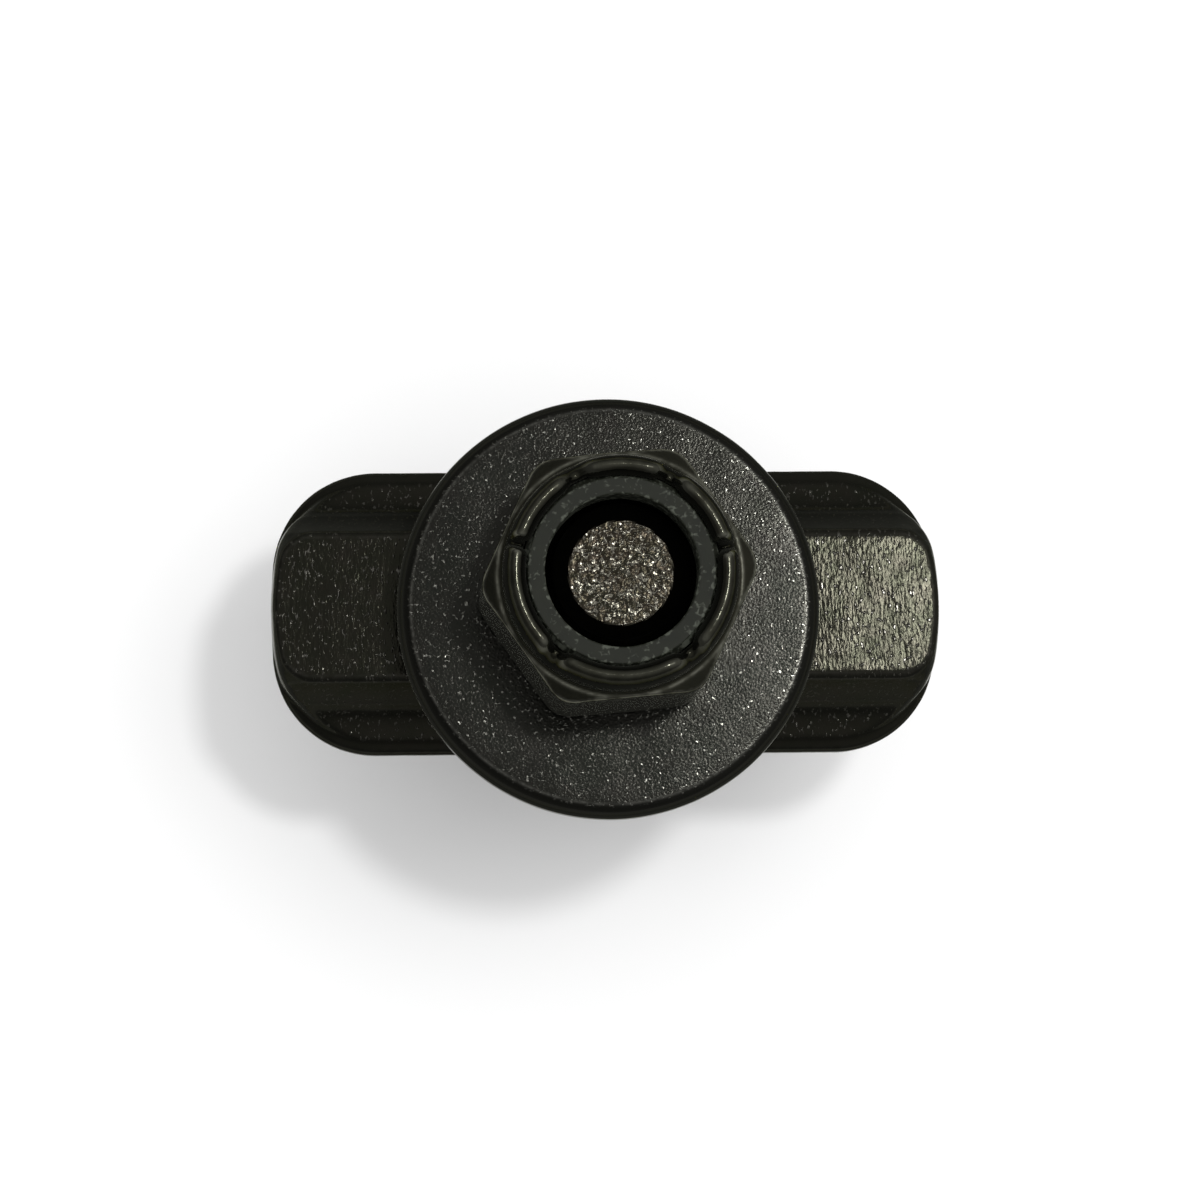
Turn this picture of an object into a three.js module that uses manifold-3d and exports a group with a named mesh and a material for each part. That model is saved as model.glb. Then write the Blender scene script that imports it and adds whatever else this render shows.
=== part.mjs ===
// A forged two-wing nut on a 3/8-16 hex bolt, kept on by a loose flat washer and a nylon-insert lock nut.
// Millimetres. +Z runs up the bolt from the centre of the head's outer face, and +X runs along the wings.

import * as THREE from 'three';
import { mergeVertices } from 'three/addons/utils/BufferGeometryUtils.js';
import Module from 'manifold-3d';

const wasm = await Module();
wasm.setup();

// Thread and hex sizes shared by the bolt and the lock nut.
const acrossFlats = 14.29;
const threadRadius = 4.7;
const runningGap = 0.08;
const boreRadius = threadRadius + runningGap;

// Hex bolt.
const headHeight = 6;
const headFaceRadius = 6.8;
const headFaceHeight = 0.4;
const shankLength = 31.75;
const boltEndRadius = 3.05;

// Wing nut.
const clampGap = 6.15;
const hubHeight = 13.2;
const hubTopRadius = 9.5;
const hubWaistRadius = 10.4;
const hubFootRadius = 9.2;
const hubAboveSpine = 3;
const spineHalfHeight = 4.3;
const spineHalfWidth = 4.45;
const spineHalfLength = 20.2;
const spineEndDraft = 0.45;
const spineSideDraft = 0.85;
const spineCornerRadius = 1.9;
const wingHalfLength = 20.4;
const wingHalfWidth = 8.75;
const wingCornerRadius = 6.4;
const rimWidth = 0.55;
const rimHalfHeight = 0.85;

// Flat washer: it has dropped to one side of its clearance on the bolt.
const washerOuterRadius = 12.7;
const washerHoleRadius = 5.56;
const washerThickness = 2.1;
const washerEdgeRadius = 0.6;
const washerShift = [-0.15, -0.7];
const stackGap = 0.1;

// Lock nut and its nylon ring, measured up from the nut's bearing face.
const lockNutHeight = 11.9;
const lockHexHeight = 9.3;
const lockNutTurnDegrees = 5;
const shoulderRadius = 7.05;
const collarRadius = 6.75;
const lipRadius = 5.35;
const ringSeat = 7.7;
const ringSeatRadius = 5.8;
const ringOuterRadius = 5.7;
const ringBoreRadius = 4.42;
const ringTop = 11.35;
const notchCount = 6;
const notchRadius = 0.42;

// Heights of the stack, worked out from the sizes above.
const hubFootZ = headHeight + clampGap;
const washerZ = hubFootZ + hubHeight + stackGap;
const lockNutZ = washerZ + washerThickness + stackGap;
const boltEndZ = headHeight + shankLength;

const roundSegments = 48;
const arcSegments = 8;

const blackSteel = { color: 0x24231f, roughness: 0.45, metalness: 0.85 };
const forgedSteel = { color: 0x1f1f1c, roughness: 0.6, metalness: 0.8 };
const oiledSteel = { color: 0x2b2820, roughness: 0.3, metalness: 0.9 };
const greyNylon = { color: 0x3a3d39, roughness: 0.7, metalness: 0 };

// A closed solid from a geometry: seams merged, and the slivers at a lathe's axis dropped.
function solidOf(geometry) {
  geometry.deleteAttribute('normal');
  geometry.deleteAttribute('uv');
  const merged = mergeVertices(geometry, 1e-4);
  const index = merged.getIndex().array;
  const triangles = [];
  for (let i = 0; i < index.length; i += 3) {
    const [a, b, c] = [index[i], index[i + 1], index[i + 2]];
    if (a !== b && b !== c && a !== c) triangles.push(a, b, c);
  }
  const vertProperties = new Float32Array(merged.getAttribute('position').array);
  const triVerts = new Uint32Array(triangles);
  return new wasm.Manifold(new wasm.Mesh({ numProp: 3, vertProperties, triVerts }));
}

function geometryOf(solid) {
  const mesh = solid.getMesh();
  const geometry = new THREE.BufferGeometry();
  geometry.setAttribute('position', new THREE.BufferAttribute(mesh.vertProperties, 3));
  geometry.setIndex(new THREE.BufferAttribute(mesh.triVerts, 1));
  geometry.computeVertexNormals();
  return geometry;
}

function namedMesh(name, solid, finish) {
  const mesh = new THREE.Mesh(geometryOf(solid), new THREE.MeshStandardMaterial(finish));
  mesh.name = name;
  return mesh;
}

// Points along an ellipse's arc, as [radius, height] pairs, from one angle in degrees to another.
function arcPoints(centreRadius, centreZ, radial, axial, fromDegrees, toDegrees, steps) {
  const points = [];
  for (let i = 0; i <= steps; i += 1) {
    const angle = THREE.MathUtils.degToRad(fromDegrees + ((toDegrees - fromDegrees) * i) / steps);
    points.push([centreRadius + radial * Math.cos(angle), centreZ + axial * Math.sin(angle)]);
  }
  return points;
}

// A turned solid about Z. The [radius, height] points run up the outside, then down the inside or the axis.
function turned(points) {
  const closed = [...points, points[0]];
  const profile = closed.map(([radius, z]) => new THREE.Vector2(radius, z));
  const geometry = new THREE.LatheGeometry(profile, roundSegments);
  geometry.rotateX(Math.PI / 2);
  return solidOf(geometry);
}

function hexPrism(turnDegrees, height) {
  const hexRadius = acrossFlats / Math.sqrt(3);
  const outline = new THREE.Shape();
  for (let corner = 0; corner < 6; corner += 1) {
    const angle = THREE.MathUtils.degToRad(turnDegrees + corner * 60);
    const point = [hexRadius * Math.cos(angle), hexRadius * Math.sin(angle)];
    if (corner === 0) outline.moveTo(...point);
    else outline.lineTo(...point);
  }
  outline.closePath();
  return solidOf(new THREE.ExtrudeGeometry(outline, { depth: height, bevelEnabled: false }));
}

function roundedRectangle(halfLength, halfWidth, radius) {
  const x = halfLength - radius;
  const y = halfWidth - radius;
  const outline = new THREE.Shape();
  outline.absarc(x, y, radius, 0, Math.PI / 2, false);
  outline.absarc(-x, y, radius, Math.PI / 2, Math.PI, false);
  outline.absarc(-x, -y, radius, Math.PI, Math.PI * 1.5, false);
  outline.absarc(x, -y, radius, Math.PI * 1.5, Math.PI * 2, false);
  outline.closePath();
  return outline;
}

// The head's free corners and the shank's end are chamfered; the bearing face is a low round pad.
function hexBolt() {
  const cornerRadius = acrossFlats / Math.sqrt(3) + 0.05;
  const chamferHeight = (cornerRadius - headFaceRadius) * Math.tan(Math.PI / 6);
  const padZ = headHeight - headFaceHeight;
  const headForm = turned([
    [0, 0],
    [headFaceRadius, 0],
    [cornerRadius, chamferHeight],
    [cornerRadius, padZ],
    [headFaceRadius, padZ],
    [headFaceRadius, headHeight],
    [0, headHeight],
  ]);
  const shank = turned([
    [0, headHeight / 2],
    [threadRadius, headHeight / 2],
    [threadRadius, boltEndZ - (threadRadius - boltEndRadius)],
    [boltEndRadius, boltEndZ],
    [0, boltEndZ],
  ]);
  return headForm.intersect(hexPrism(0, headHeight)).add(shank);
}

function hub() {
  const edge = 0.5;
  const waistZ = hubHeight - hubAboveSpine - spineHalfHeight;
  return turned([
    [boreRadius + edge, 0],
    [hubFootRadius - edge, 0],
    [hubFootRadius, edge],
    [hubWaistRadius, waistZ],
    [hubTopRadius, hubHeight - edge],
    [hubTopRadius - edge, hubHeight],
    [boreRadius + edge, hubHeight],
    [boreRadius, hubHeight - edge],
    [boreRadius, edge],
  ]);
}

// The thin outer rim, at the forging's parting plane, all round the wings' outline.
function wingRim() {
  const outline = roundedRectangle(wingHalfLength, wingHalfWidth, wingCornerRadius);
  const bevel = 0.55;
  const geometry = new THREE.ExtrudeGeometry(outline, {
    depth: 2 * (rimHalfHeight - bevel),
    bevelThickness: bevel,
    bevelSize: bevel,
    bevelOffset: -bevel,
    bevelSegments: 3,
    curveSegments: arcSegments,
  });
  geometry.translate(0, 0, bevel - rimHalfHeight);
  return solidOf(geometry);
}

// The hollowed shoulders between spine and rim, alike above and below the parting plane.
function wingShoulders() {
  const quarter = [
    [4.6, 3.2],
    [5.35, 2.35],
    [6.0, 1.85],
    [6.9, 1.5],
    [8.2, 1.3],
  ];
  const right = [...quarter, ...quarter.map(([y, z]) => [y, -z]).reverse()];
  const left = right.map(([y, z]) => [-y, -z]);
  const section = new THREE.Shape([...right, ...left].map(([y, z]) => new THREE.Vector2(y, z)).reverse());
  const ridge = new THREE.ExtrudeGeometry(section, { depth: 2 * wingHalfLength, bevelEnabled: false });
  ridge.translate(0, 0, -wingHalfLength);
  const alongX = new THREE.Matrix4().makeBasis(
    new THREE.Vector3(0, 1, 0),
    new THREE.Vector3(0, 0, 1),
    new THREE.Vector3(1, 0, 0),
  );
  ridge.applyMatrix4(alongX);
  const inner = roundedRectangle(
    wingHalfLength - rimWidth,
    wingHalfWidth - rimWidth,
    wingCornerRadius - rimWidth,
  );
  const column = new THREE.ExtrudeGeometry(inner, {
    depth: 2 * spineHalfHeight,
    bevelEnabled: false,
    curveSegments: arcSegments,
  });
  column.translate(0, 0, -spineHalfHeight);
  return solidOf(ridge).intersect(solidOf(column));
}

// The raised bar along both wings. Its sides and ends draw in from the parting plane to the flat faces.
function wingSpine() {
  const edge = 0.35;
  const length = spineHalfLength + spineEndDraft;
  const width = spineHalfWidth + spineSideDraft;
  const geometry = new THREE.ExtrudeGeometry(roundedRectangle(length, width, spineCornerRadius), {
    depth: 2 * (spineHalfHeight - edge),
    steps: 2,
    bevelThickness: edge,
    bevelSize: edge,
    bevelOffset: -edge,
    bevelSegments: 2,
    curveSegments: 5,
  });
  geometry.translate(0, 0, edge - spineHalfHeight);
  const position = geometry.getAttribute('position');
  for (let i = 0; i < position.count; i += 1) {
    const draw = Math.abs(position.getZ(i)) / spineHalfHeight;
    position.setX(i, position.getX(i) * (1 - (draw * spineEndDraft) / length));
    position.setY(i, position.getY(i) * (1 - (draw * spineSideDraft) / width));
  }
  return solidOf(geometry);
}

function wingNut() {
  const wingZ = hubHeight - hubAboveSpine - spineHalfHeight;
  const wings = wingRim().add(wingShoulders()).add(wingSpine()).translate([0, 0, wingZ]);
  const clearance = turned([
    [0, -1],
    [boreRadius, -1],
    [boreRadius, hubHeight + 1],
    [0, hubHeight + 1],
  ]);
  return wings.subtract(clearance).add(hub()).translate([0, 0, hubFootZ]);
}

function flatWasher() {
  const r = washerEdgeRadius;
  const hole = 0.25;
  return turned([
    [washerHoleRadius + hole, 0],
    ...arcPoints(washerOuterRadius - r, r, r, r, -90, 0, 4),
    ...arcPoints(washerOuterRadius - r, washerThickness - r, r, r, 0, 90, 4),
    [washerHoleRadius + hole, washerThickness],
    [washerHoleRadius, washerThickness - hole],
    [washerHoleRadius, hole],
  ]).translate([washerShift[0], washerShift[1], washerZ]);
}

// Six staked notches in the rolled collar, one over each corner of the hex.
function collarNotches() {
  const notches = [];
  for (let i = 0; i < notchCount; i += 1) {
    const notch = new THREE.CylinderGeometry(notchRadius, notchRadius, 2.4, 10);
    notch.rotateZ(Math.PI / 2);
    notch.translate(lipRadius + 1, 0, lockNutHeight + 0.05);
    notch.rotateZ(THREE.MathUtils.degToRad(lockNutTurnDegrees + (i * 360) / notchCount));
    notches.push(solidOf(notch));
  }
  return notches;
}

function lockNut() {
  const cornerRadius = acrossFlats / Math.sqrt(3) + 0.05;
  const chamferHeight = (cornerRadius - shoulderRadius) * Math.tan(Math.PI / 6);
  const rollZ = 10.2;
  const rollCentre = 6.05;
  const form = turned([
    [boreRadius + 0.5, 0],
    [shoulderRadius, 0],
    [cornerRadius, chamferHeight],
    [cornerRadius, lockHexHeight - chamferHeight],
    [shoulderRadius, lockHexHeight],
    [collarRadius, lockHexHeight + 0.1],
    [collarRadius, rollZ],
    ...arcPoints(rollCentre, rollZ, collarRadius - rollCentre, lockNutHeight - rollZ, 20, 90, 5),
    [lipRadius + 0.12, lockNutHeight - 0.12],
    [lipRadius, lockNutHeight - 0.35],
    [lipRadius, ringTop + 0.05],
    [ringSeatRadius, ringTop - 0.25],
    [ringSeatRadius, ringSeat],
    [boreRadius, ringSeat],
    [boreRadius, 0.5],
  ]);
  let nut = form.intersect(hexPrism(lockNutTurnDegrees, lockNutHeight));
  for (const notch of collarNotches()) nut = nut.subtract(notch);
  return nut.translate([0, 0, lockNutZ]);
}

// The ring is opened by the thread below and keeps its own bore above the bolt's end.
function nylonInsert() {
  return turned([
    [boreRadius + 0.02, ringSeat + 0.1],
    [ringOuterRadius, ringSeat + 0.1],
    [ringOuterRadius, ringTop - 0.42],
    [lipRadius - 0.1, ringTop - 0.05],
    [lipRadius - 0.25, ringTop],
    [ringBoreRadius + 0.1, ringTop],
    [ringBoreRadius, ringTop - 0.1],
    [ringBoreRadius, 9.2],
    [boreRadius + 0.02, 8.7],
  ]).translate([0, 0, lockNutZ]);
}

const group = new THREE.Group();
group.add(namedMesh('hex_bolt', hexBolt(), blackSteel));
group.add(namedMesh('wing_nut', wingNut(), forgedSteel));
group.add(namedMesh('flat_washer', flatWasher(), blackSteel));
group.add(namedMesh('lock_nut', lockNut(), oiledSteel));
group.add(namedMesh('nylon_insert', nylonInsert(), greyNylon));

export default group;
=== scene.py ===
import math

import bpy
import numpy as np
from mathutils import Matrix, Vector, noise


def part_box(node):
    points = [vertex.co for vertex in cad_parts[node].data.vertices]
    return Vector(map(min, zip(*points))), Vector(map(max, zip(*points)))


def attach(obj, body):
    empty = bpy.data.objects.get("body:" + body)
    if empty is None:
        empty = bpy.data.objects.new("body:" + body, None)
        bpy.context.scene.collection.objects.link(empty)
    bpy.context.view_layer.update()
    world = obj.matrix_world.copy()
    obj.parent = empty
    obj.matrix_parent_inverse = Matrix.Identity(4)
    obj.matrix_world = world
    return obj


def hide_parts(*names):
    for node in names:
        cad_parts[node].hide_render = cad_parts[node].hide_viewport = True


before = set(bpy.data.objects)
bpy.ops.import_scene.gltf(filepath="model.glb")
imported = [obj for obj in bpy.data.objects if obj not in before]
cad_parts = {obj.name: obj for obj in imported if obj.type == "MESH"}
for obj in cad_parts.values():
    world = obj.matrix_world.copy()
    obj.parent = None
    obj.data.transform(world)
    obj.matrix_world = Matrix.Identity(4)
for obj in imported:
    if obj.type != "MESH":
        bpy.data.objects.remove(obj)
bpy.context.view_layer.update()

# A wing nut on a hex bolt, with its washer and lock nut. Sizes in the dictionaries are millimetres.
mm = 0.001
stageScene = bpy.context.scene
collection = stageScene.collection


def nodeBox(node):
    low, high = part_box(node)
    return np.array(low) / mm, np.array(high) / mm


def addNode(tree, kind, settings=None, links=None):
    node = tree.nodes.new(kind)
    for name, value in (settings or {}).items():
        setattr(node, name, value)
    for key, value in (links or {}).items():
        if isinstance(value, bpy.types.NodeSocket):
            tree.links.new(value, node.inputs[key])
        else:
            node.inputs[key].default_value = value
    return node


def linearColour(hexText):
    channels = [int(hexText[i:i + 2], 16) / 255 for i in (1, 3, 5)]
    return [c / 12.92 if c <= 0.04045 else ((c + 0.055) / 1.055) ** 2.4 for c in channels] + [1.0]


# Shapes come from distance fields: negative inside, in millimetres.
def smoothMin(a, b, blend):
    closeness = np.maximum(blend - np.abs(a - b), 0) / blend
    return np.minimum(a, b) - closeness * closeness * blend / 4


def smoothMax(a, b, blend):
    return -smoothMin(-a, -b, blend)


def roundedRectangle(x, y, halfLength, halfWidth, radius):
    dx = np.abs(x) - halfLength + radius
    dy = np.abs(y) - halfWidth + radius
    return np.minimum(np.maximum(dx, dy), 0) + np.hypot(np.maximum(dx, 0), np.maximum(dy, 0)) - radius


# A plan outline carried up to a height, with its edge rounded.
def roundedSlab(plan, height, radius):
    a = plan + radius
    b = height + radius
    return np.minimum(np.maximum(a, b), 0) + np.hypot(np.maximum(a, 0), np.maximum(b, 0)) - radius


def hexagonPlan(x, y, acrossFlats, turnDegrees, cornerRadius):
    plan = None
    for side in range(3):
        angle = math.radians(turnDegrees + 30 + 60 * side)
        flat = np.abs(x * math.cos(angle) + y * math.sin(angle)) - acrossFlats / 2
        plan = flat if plan is None else smoothMax(plan, flat, cornerRadius)
    return plan


surfacing = {"reach": 0.01, "fitSteps": 3, "evenings": 3, "evenShare": 0.6}


# One point in each grid cell that the surface crosses, joined by a quad round each crossed grid edge.
def gridSurface(field, low, high, cell):
    axes = [np.arange(a - 2 * cell, b + 3 * cell, cell) for a, b in zip(low, high)]
    inside = field(*np.meshgrid(*axes, indexing="ij", sparse=True)) < 0
    counts = np.zeros([n - 1 for n in inside.shape], np.int8)
    for i in (0, 1):
        for j in (0, 1):
            for k in (0, 1):
                counts += inside[i:i + counts.shape[0], j:j + counts.shape[1], k:k + counts.shape[2]]
    crossed = (counts > 0) & (counts < 8)
    number = np.full(counts.shape, -1)
    number[crossed] = np.arange(crossed.sum())
    points = np.stack([axes[d][index] + cell / 2 for d, index in enumerate(np.nonzero(crossed))], 1)
    quads = []
    for axis in range(3):
        order = (axis, (axis + 1) % 3, (axis + 2) % 3)
        state = np.transpose(inside, order)
        cells = np.transpose(number, order)
        here = state[:-1, 1:-1, 1:-1]
        i, j, k = np.nonzero(here != state[1:, 1:-1, 1:-1])
        ring = [cells[i, j, k], cells[i, j + 1, k], cells[i, j + 1, k + 1], cells[i, j, k + 1]]
        quad = np.stack(ring, 1)
        outward = here[i, j, k]
        quads.append(np.where(outward[:, None], quad, quad[:, ::-1]))
    return points, np.concatenate(quads)


# How much the field changes across each point, along X, Y and Z.
def fieldChange(points, field):
    reach = surfacing["reach"]
    return np.stack([field(*(points + reach * a).T) - field(*(points - reach * a).T) for a in np.eye(3)], 1)


def surfaceNormals(points, field):
    slope = fieldChange(points, field)
    return slope / np.linalg.norm(slope, axis=1, keepdims=True)


def ontoSurface(points, field, cell):
    for _ in range(surfacing["fitSteps"]):
        value = field(*points.T)
        slope = fieldChange(points, field) / (2 * surfacing["reach"])
        shift = (value / np.maximum((slope ** 2).sum(1), 1e-6))[:, None] * slope
        length = np.linalg.norm(shift, axis=1, keepdims=True)
        points = points - shift * np.minimum(1, cell / np.maximum(length, 1e-9))
    return points


# Moves each point towards the middle of its neighbours.
def evened(points, quads, share):
    ends = np.concatenate([quads[:, [a, (a + 1) % 4]] for a in range(4)])
    both = np.concatenate([ends, ends[:, ::-1]])
    count = np.bincount(both[:, 0], minlength=len(points))
    total = [np.bincount(both[:, 0], weights=points[both[:, 1], d], minlength=len(points)) for d in range(3)]
    return points + share * (np.stack(total, 1) / count[:, None] - points)


def meshObject(name, points, faces):
    mesh = bpy.data.meshes.new(name)
    mesh.from_pydata((np.asarray(points) * mm).tolist(), [], np.asarray(faces).tolist())
    mesh.validate()
    mesh.shade_smooth()
    piece = bpy.data.objects.new(name, mesh)
    collection.objects.link(piece)
    return piece


wornEdges = {"reach": 0.12, "tolerance": 0.12}


# How tightly the surface bends outwards, past a tolerance: edges lose their coating first.
def edgeSharpness(points, field):
    reach = wornEdges["reach"]
    total = -6 * field(*points.T)
    for offset in reach * np.eye(3):
        total += field(*(points + offset).T) + field(*(points - offset).T)
    return total / reach - wornEdges["tolerance"]


def storeOnPoints(piece, name, values):
    stored = piece.data.attributes.get(name) or piece.data.attributes.new(name, "FLOAT", "POINT")
    stored.data.foreach_set("value", values)


def pointsOf(piece):
    coordinates = np.empty(3 * len(piece.data.vertices))
    piece.data.vertices.foreach_get("co", coordinates)
    return coordinates.reshape(-1, 3) / mm


def fieldPiece(name, field, low, high, cell, wear=None, roughen=None):
    points, quads = gridSurface(field, low, high, cell)
    points = ontoSurface(points, field, cell)
    for _ in range(surfacing["evenings"]):
        points = ontoSurface(evened(points, quads, surfacing["evenShare"]), field, cell)
    smooth = points
    if roughen:
        points = roughen(points, field)
    piece = meshObject(name, points, quads)
    if wear:
        storeOnPoints(piece, "wear", np.clip(edgeSharpness(smooth, field) * wear, 0, 1))
    print(name, len(points), "points", 2 * len(quads), "triangles")
    return piece


def noiseAt(points, size, seed):
    return np.array([noise.noise(Vector(p) / size + Vector((seed, 0, 0))) for p in points.tolist()])


# A ring turned about Z from a closed outline of [radius, height] points, outside upwards.
def turnedRing(outline, segments):
    angle = np.arange(segments) * 2 * math.pi / segments
    radius, height = np.array(outline).T
    x = np.cos(angle)[:, None] * radius
    y = np.sin(angle)[:, None] * radius
    z = np.broadcast_to(height, x.shape)
    points = np.stack([x, y, z], -1).reshape(-1, 3)
    i, j = np.meshgrid(np.arange(segments), np.arange(len(outline)), indexing="ij")
    nextI = (i + 1) % segments
    nextJ = (j + 1) % len(outline)
    size = len(outline)
    quads = np.stack([i * size + j, nextI * size + j, nextI * size + nextJ, i * size + nextJ], -1)
    return points, quads.reshape(-1, 4)


def arc(centreRadius, centreZ, radius, fromDegrees, toDegrees, steps):
    angles = np.radians(np.linspace(fromDegrees, toDegrees, steps + 1))
    return [[centreRadius + radius * math.cos(a), centreZ + radius * math.sin(a)] for a in angles]


def span(start, end, steps):
    return np.linspace(start, end, steps + 1)[1:-1].tolist()


oxideFilm = {
    "edgeTint": [0.3, 0.3, 0.28, 1], "bloomTint": [0.95, 0.97, 0.8, 1], "bloomRough": 0.5,
    "noiseRough": 0.55, "wearGap": (0.35, 0.6), "leastWorn": 0.25, "patchRange": (0.3, 0.7),
}


# Black oxide turns steel's top micrometre black: a dark metal that still shines, with a faint dry bloom.
# Grain tips and edges are rubbed to lighter steel, so they sparkle. Calm places have little grain or none.
def blackenedSteel(name, look):
    material = bpy.data.materials.new(name)
    material.use_nodes = True
    tree = material.node_tree
    tree.nodes.clear()
    coords = addNode(tree, "ShaderNodeTexCoord").outputs["Object"]
    # Each pattern has a size in millimetres, a stretch along X, Y and Z, and how much fine detail it holds.
    patterns = {
        "film": (look["filmSize"], even, 3.0),
        "tips": (look["tipSize"], look["tipStretch"], 1.0),
        "edge": (look["edgeSize"], even, 2.0),
        "patch": (look["patchSize"], even, 4.0),
    }
    for depth, (size, stretch) in look["grains"].items():
        patterns[depth] = (size, stretch, 2.0)
    noises = {}
    for key, (size, stretch, detail) in patterns.items():
        spread = addNode(tree, "ShaderNodeMapping", None,
                         {"Vector": coords, "Scale": [s / (size * mm) for s in stretch]})
        cloud = addNode(tree, "ShaderNodeTexNoise", None,
                        {"Vector": spread.outputs["Vector"], "Scale": 1.0, "Detail": detail,
                         "Roughness": oxideFilm["noiseRough"]})
        noises[key] = cloud.outputs["Fac"]

    calm = addNode(tree, "ShaderNodeAttribute", {"attribute_name": "calm"}).outputs["Fac"]
    grainy = addNode(tree, "ShaderNodeMath", {"operation": "SUBTRACT", "use_clamp": True},
                     {0: 1.0, 1: calm}).outputs[0]
    crests = addNode(tree, "ShaderNodeMapRange", None,
                     {"Value": noises["tips"], "From Min": look["tipFrom"],
                      "From Max": look["tipFrom"] + look["tipSoft"]}).outputs["Result"]
    rubbed = addNode(tree, "ShaderNodeMath", {"operation": "MULTIPLY"}, {0: crests, 1: grainy}).outputs[0]
    edge = addNode(tree, "ShaderNodeAttribute", {"attribute_name": "wear"}).outputs["Fac"]
    gapLow, gapHigh = oxideFilm["wearGap"]
    broken = addNode(tree, "ShaderNodeMapRange", None,
                     {"Value": noises["edge"], "From Min": gapLow, "From Max": gapHigh,
                      "To Min": oxideFilm["leastWorn"]}).outputs["Result"]
    worn = addNode(tree, "ShaderNodeMath", {"operation": "MULTIPLY"}, {0: edge, 1: broken}).outputs[0]
    bare = addNode(tree, "ShaderNodeMath", {"operation": "MAXIMUM"}, {0: rubbed, 1: worn}).outputs[0]
    oxide = addNode(tree, "ShaderNodeMix", {"data_type": "RGBA"},
                    {"Factor": noises["film"], "A": linearColour(look["dark"]),
                     "B": linearColour(look["light"])}).outputs["Result"]
    colour = addNode(tree, "ShaderNodeMix", {"data_type": "RGBA"},
                     {"Factor": bare, "A": oxide, "B": linearColour(look["bare"])}).outputs["Result"]
    patchLow, patchHigh = oxideFilm["patchRange"]
    rough = addNode(tree, "ShaderNodeMapRange", None,
                    {"Value": noises["patch"], "From Min": patchLow, "From Max": patchHigh,
                     "To Min": look["roughLow"], "To Max": look["roughHigh"]}).outputs["Result"]
    normal = addNode(tree, "ShaderNodeBump", None,
                     {"Height": rubbed, "Distance": look["tipDepth"] * mm}).outputs["Normal"]
    for depth in look["grains"]:
        normal = addNode(tree, "ShaderNodeBump", None,
                         {"Height": noises[depth], "Distance": depth * mm, "Normal": normal,
                          "Strength": grainy}).outputs["Normal"]
    shader = addNode(tree, "ShaderNodeBsdfPrincipled", None,
                     {"Base Color": colour, "Metallic": 1.0, "Roughness": rough, "Normal": normal,
                      "Specular Tint": oxideFilm["edgeTint"], "Sheen Weight": look["bloom"],
                      "Sheen Tint": oxideFilm["bloomTint"], "Sheen Roughness": oxideFilm["bloomRough"]})
    addNode(tree, "ShaderNodeOutputMaterial", None, {"Surface": shader.outputs["BSDF"]})
    return material


# A real part's blast and scale grain is finer than these sizes, and is drawn as coarse as it needs to show.
# Each grain is its depth, then its size and its stretch.
even = (1, 1, 1)
alongY = (1, 0.35, 1)
# Die forging, blasted and dressed across the wings: short ridges along Y that catch a lamp one by one.
forgedLook = {
    "dark": "#13150f", "light": "#1b1916", "filmSize": 1.3, "bare": "#3b3a36", "edgeSize": 0.5,
    "tipSize": 0.2, "tipStretch": (1, 0.5, 1), "tipFrom": 0.6, "tipDepth": 0.026, "tipSoft": 0.12,
    "roughLow": 0.12, "roughHigh": 0.18, "patchSize": 1.5, "bloom": 0.07,
    "grains": {0.006: (0.4, even), 0.016: (0.2, alongY)},
}
# Stamped from rolled sheet and tumbled: an even, sandy face with scattered bright points.
washerLook = {
    "dark": "#151613", "light": "#1d1c1a", "filmSize": 2.0, "bare": "#53534e", "edgeSize": 0.4,
    "tipSize": 0.22, "tipStretch": even, "tipFrom": 0.59, "tipDepth": 0.034, "tipSoft": 0.1,
    "roughLow": 0.13, "roughHigh": 0.18, "patchSize": 2.5, "bloom": 0.06,
    "grains": {0.003: (0.9, even), 0.012: (0.14, even)},
}
# Cold-formed and dipped in oil: smooth, softly dented metal with long highlights and bright corners.
lockNutLook = {
    "dark": "#1a1b16", "light": "#292821", "filmSize": 2.4, "bare": "#6c6c62", "edgeSize": 0.9,
    "tipSize": 0.2, "tipStretch": even, "tipFrom": 0.8, "tipDepth": 0.004, "tipSoft": 0.08,
    "roughLow": 0.1, "roughHigh": 0.17, "patchSize": 1.0, "bloom": 0.03,
    "grains": {0.03: (0.9, even), 0.008: (0.3, even)},
}
# Rolled thread and upset head: smooth and dark, with a slight swell from the dies.
boltLook = {
    "dark": "#161512", "light": "#22201a", "filmSize": 2.0, "bare": "#454339", "edgeSize": 0.6,
    "tipSize": 0.2, "tipStretch": even, "tipFrom": 0.7, "tipDepth": 0.005, "tipSoft": 0.08,
    "roughLow": 0.18, "roughHigh": 0.26, "patchSize": 1.0, "bloom": 0.01,
    "grains": {0.01: (0.9, even), 0.006: (0.25, even)},
}
# Sheared end, never machined: torn, bright-tipped grain.
boltEndLook = {
    "dark": "#191a12", "light": "#29241f", "filmSize": 0.6, "bare": "#55534b", "edgeSize": 0.3,
    "tipSize": 0.22, "tipStretch": even, "tipFrom": 0.5, "tipDepth": 0.03, "tipSoft": 0.12,
    "roughLow": 0.14, "roughHigh": 0.2, "patchSize": 0.6, "bloom": 0.0,
    "grains": {0.045: (0.55, even), 0.014: (0.16, even)},
}
nylonLook = {
    "dark": "#12140f", "light": "#1f2119", "cloudSize": 1.2, "scuffed": "#44473f", "scuffSize": 0.35,
    "scuffTwist": 0.6, "scuffFrom": 0.6, "scuffTo": 0.72, "edgeScuffs": 0.12, "markSize": 0.12,
    "markDepth": 0.004, "rough": 0.6, "specular": 0.15,
}


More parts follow.
